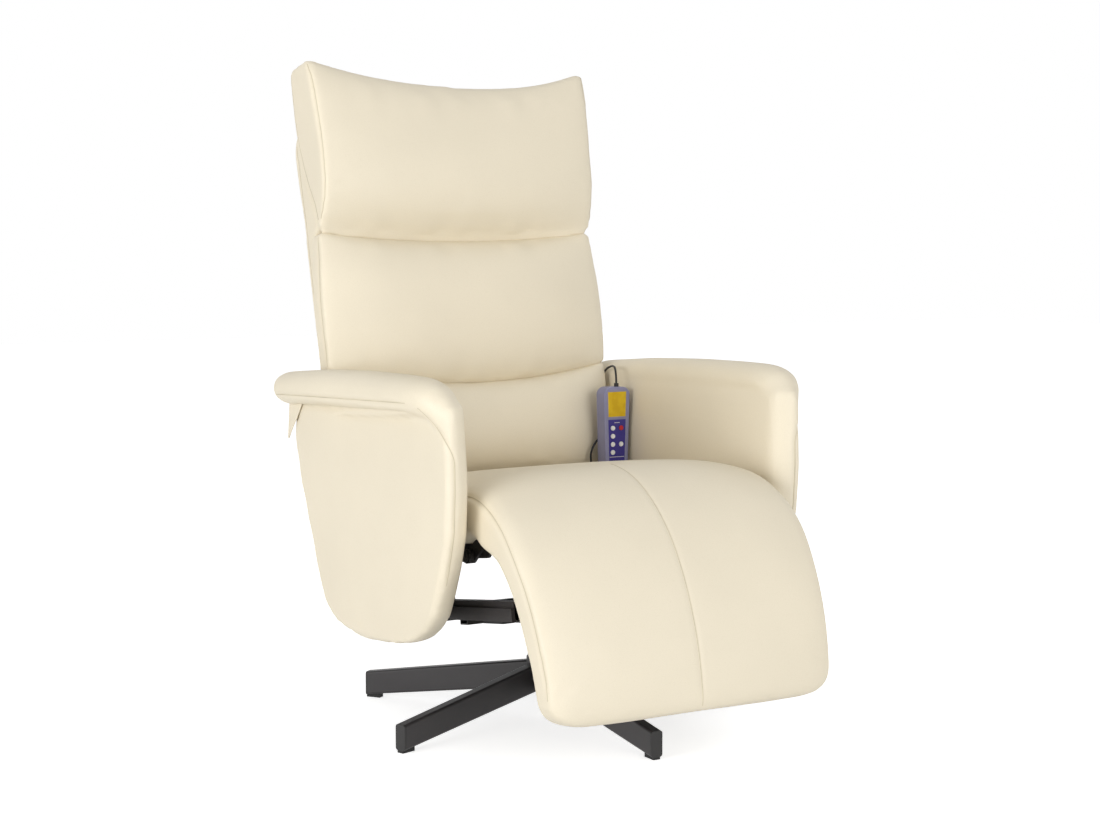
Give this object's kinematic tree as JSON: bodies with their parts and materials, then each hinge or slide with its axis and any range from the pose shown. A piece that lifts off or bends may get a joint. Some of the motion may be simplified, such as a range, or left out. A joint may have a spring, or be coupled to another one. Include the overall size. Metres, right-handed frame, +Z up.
{
  "type": "massage recliner",
  "caption": "Swivelling padded massage recliner with a star base, rolled arms, reclining back linked to a hinged leg rest, and a corded handset.",
  "frame": {"origin": "on the floor on the swivel axis", "axes": "+Z up, the chair faces -Y, +X to the right seen from the front"},
  "size_m": [0.7044, 0.8739, 1.0721],
  "materials": {
    "cream_leather": "soft faux leather over foam",
    "charcoal_metal": "satin",
    "black_metal": "satin",
    "steel": "satin",
    "plywood": "raw",
    "rubber": "matt",
    "black_plastic": "matt",
    "grey_plastic": "satin",
    "yellow_pane": "gloss",
    "blue_panel": "matt",
    "circuit": "matt",
    "cord": "matt",
    "white_key": "satin",
    "red_key": "satin"
  },
  "bodies": {
    "base": {"base_leg_front": "charcoal_metal", "base_leg_front_right": "charcoal_metal", "base_leg_rear_right": "charcoal_metal", "base_leg_rear_left": "charcoal_metal", "base_leg_front_left": "charcoal_metal", "leg_caps": "black_plastic", "foot_pads": "rubber", "base_hub": "charcoal_metal", "swivel_post": "steel"},
    "seat": {"swivel_bush": "black_plastic", "swivel_socket": "black_metal", "swivel_plate": "black_metal", "rail_pads": "rubber", "cross_tubes": "black_metal", "seat_posts": "black_metal", "seat_board": "plywood", "seat_cushion": "cream_leather", "legrest_brackets": "black_metal", "back_brackets": "black_metal", "arm_brackets": "black_metal", "frame_bolts": "steel", "seat_motors": "black_plastic", "control_box": "black_plastic", "control_box_lid": "black_plastic", "power_inlet": "black_plastic", "handset_front": "grey_plastic", "handset_back": "grey_plastic", "handset_screen": "yellow_pane", "handset_panel": "blue_panel", "handset_circuit": "circuit", "handset_gland": "black_plastic", "handset_cord": "cord", "cord_grommet": "rubber", "side_rail_right": "charcoal_metal", "arm_board_right": "plywood", "arm_inner_pad_right": "cream_leather", "arm_outer_pad_right": "cream_leather", "arm_roll_right": "cream_leather", "side_rail_left": "charcoal_metal", "arm_board_left": "plywood", "arm_inner_pad_left": "cream_leather", "arm_outer_pad_left": "cream_leather", "arm_roll_left": "cream_leather"},
    "back": {"back_board": "plywood", "back_cover": "cream_leather", "lumbar_cushion": "cream_leather", "middle_cushion": "cream_leather", "head_cushion": "cream_leather", "back_motors": "black_plastic", "back_cranks": "black_metal"},
    "legrest": {"legrest_board": "plywood", "legrest_cushion": "cream_leather", "legrest_cranks": "black_metal"},
    "link": {"push_rods": "black_metal"},
    "button_power": {"button_power": "red_key"},
    "button_mode": {"button_mode": "white_key"},
    "button_speed": {"button_speed": "white_key"},
    "button_zone_back": {"button_zone_back": "white_key"},
    "button_zone_seat": {"button_zone_seat": "white_key"},
    "button_heat": {"button_heat": "white_key"}
  },
  "joints": [
    {"name": "swivel", "type": "hinge", "parent": "base", "child": "seat", "pos_m": [0, 0, 0.13], "axis": [0, 0, 1], "continuous": true},
    {"name": "recline", "type": "hinge", "parent": "seat", "child": "back", "pos_m": [0, 0.24688, 0.3096], "axis": [-1, 0, 0], "range_deg": [0, 40]},
    {"name": "legrest_lift", "type": "hinge", "parent": "seat", "child": "legrest", "pos_m": [0, -0.27185, 0.38224], "axis": [-1, 0, 0], "range_deg": [0, 40]},
    {"name": "rod_pivot", "type": "hinge", "parent": "back", "child": "link", "pos_m": [0, 0.33065, 0.23678], "axis": [-1, 0, 0], "range_deg": [-40, 0]},
    {"name": "button_power_press", "type": "slide", "parent": "seat", "child": "button_power", "axis": [0, 1, 0], "range_m": [0, 0.0012], "stiffness_N_per_m": 400},
    {"name": "button_mode_press", "type": "slide", "parent": "seat", "child": "button_mode", "axis": [0, 1, 0], "range_m": [0, 0.0012], "stiffness_N_per_m": 400},
    {"name": "button_speed_press", "type": "slide", "parent": "seat", "child": "button_speed", "axis": [0, 1, 0], "range_m": [0, 0.0012], "stiffness_N_per_m": 400},
    {"name": "button_zone_back_press", "type": "slide", "parent": "seat", "child": "button_zone_back", "axis": [0, 1, 0], "range_m": [0, 0.0012], "stiffness_N_per_m": 400},
    {"name": "button_zone_seat_press", "type": "slide", "parent": "seat", "child": "button_zone_seat", "axis": [0, 1, 0], "range_m": [0, 0.0012], "stiffness_N_per_m": 400},
    {"name": "button_heat_press", "type": "slide", "parent": "seat", "child": "button_heat", "axis": [0, 1, 0], "range_m": [0, 0.0012], "stiffness_N_per_m": 400}
  ],
  "couplings": [
    {"joint": "legrest_lift", "follows": "recline", "ratio": 1},
    {"joint": "rod_pivot", "follows": "recline", "ratio": -1}
  ]
}
